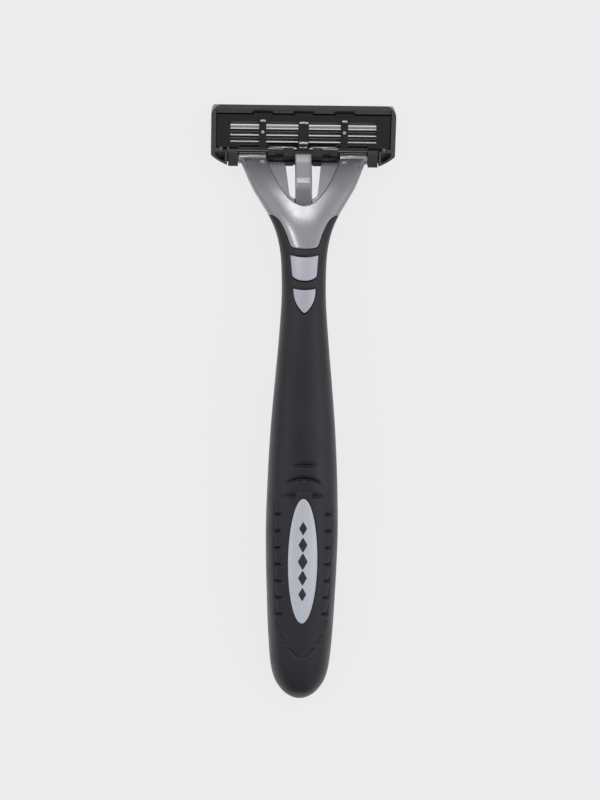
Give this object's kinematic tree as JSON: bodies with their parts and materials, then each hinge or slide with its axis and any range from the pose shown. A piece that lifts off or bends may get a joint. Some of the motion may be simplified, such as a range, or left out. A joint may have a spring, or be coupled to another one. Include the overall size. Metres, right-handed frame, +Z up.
{
  "type": "cartridge razor",
  "caption": "Hand razor with a soft-covered handle, a forked head and a sprung pivoting cartridge with parallel blades.",
  "frame": {"origin": "on the table under the middle of the razor's bounding box, the razor lying on its back", "axes": "+Z up, out of the handle's front face; +Y along the handle towards the cartridge; +X across"},
  "size_m": [0.0426, 0.1366, 0.0202],
  "materials": {
    "grip_rubber": "matte",
    "pewter_plastic": "glossy",
    "emblem_metal": "satin",
    "black_plastic": "satin",
    "blade_steel": "bright",
    "strip_polymer": "satin",
    "fin_rubber": "matte"
  },
  "bodies": {
    "handle": {"handle_core_front": "pewter_plastic", "handle_core_rear": "pewter_plastic", "rubber_grip": "grip_rubber", "emblem_plate": "emblem_metal"},
    "tongue": {"return_tongue": "pewter_plastic"},
    "cartridge": {"cartridge_housing": "black_plastic", "blade_carrier": "black_plastic", "pivot_bracket": "black_plastic", "blade_support_1": "blade_steel", "blade_support_2": "blade_steel", "blade_support_3": "blade_steel", "blade_edge_1": "blade_steel", "blade_edge_2": "blade_steel", "blade_edge_3": "blade_steel", "lubricating_strip": "strip_polymer", "guard_fins": "fin_rubber"}
  },
  "joints": [
    {"name": "head_pivot", "type": "hinge", "parent": "handle", "child": "cartridge", "pos_m": [0, 0.0561, 0.00345], "axis": [1, 0, 0], "range_deg": [0, 35], "stiffness_Nm_per_rad": 0.005, "springref_deg": -11.46},
    {"name": "tongue_flex", "type": "hinge", "parent": "handle", "child": "tongue", "pos_m": [0, 0.0446, 0.009], "axis": [1, 0, 0], "range_deg": [0, 4.6]}
  ],
  "couplings": [
    {"joint": "tongue_flex", "follows": "head_pivot", "ratio": 0.13}
  ]
}
